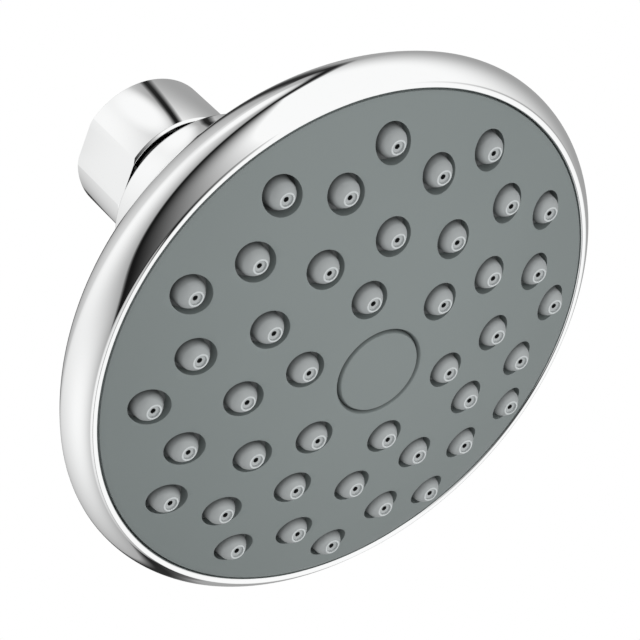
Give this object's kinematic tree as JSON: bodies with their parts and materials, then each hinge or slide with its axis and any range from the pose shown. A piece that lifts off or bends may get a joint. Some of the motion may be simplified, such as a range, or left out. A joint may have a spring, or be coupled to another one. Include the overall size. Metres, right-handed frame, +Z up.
{
  "type": "fixed shower head",
  "caption": "Round bell-shaped shower head with a domed plate of soft nozzles, hung on a threaded connector and a swivel ball that let it tilt and turn.",
  "frame": {"origin": "centre of the inlet's mouth, in the top plane of the connector", "axes": "+Z up along the inlet towards the shower arm, the water leaves along -Z, and +X points at one wrench flat of the connector"},
  "size_m": [0.127, 0.127, 0.0976],
  "materials": {
    "chrome": "polished",
    "grey_plastic": "satin",
    "grey_silicone": "matte",
    "black_rubber": "matte",
    "white_plastic": "satin",
    "steel": "satin"
  },
  "bodies": {
    "connector": {"connector_nut": "chrome", "inlet_washer": "black_rubber", "inlet_screen": "steel", "flow_restrictor": "white_plastic", "restrictor_o_ring": "black_rubber", "swivel_ball": "chrome", "shank_o_ring": "black_rubber"},
    "seat": {"swivel_ring": "white_plastic"},
    "head": {"shell": "chrome", "ball_seal": "black_rubber", "socket_gland": "white_plastic", "waterway": "white_plastic", "spigot_o_ring": "black_rubber", "nozzle_mat": "grey_silicone", "face_plate": "grey_plastic", "centre_screw": "steel", "screw_seal": "black_rubber", "centre_cap": "grey_plastic"}
  },
  "joints": [
    {"name": "tilt", "type": "hinge", "parent": "connector", "child": "seat", "pos_m": [0, 0, -0.0354], "axis": [1, 0, 0], "range_deg": [-18, 18]},
    {"name": "swivel", "type": "hinge", "parent": "seat", "child": "head", "pos_m": [0, 0, -0.0354], "axis": [0, 0, 1], "continuous": true}
  ]
}
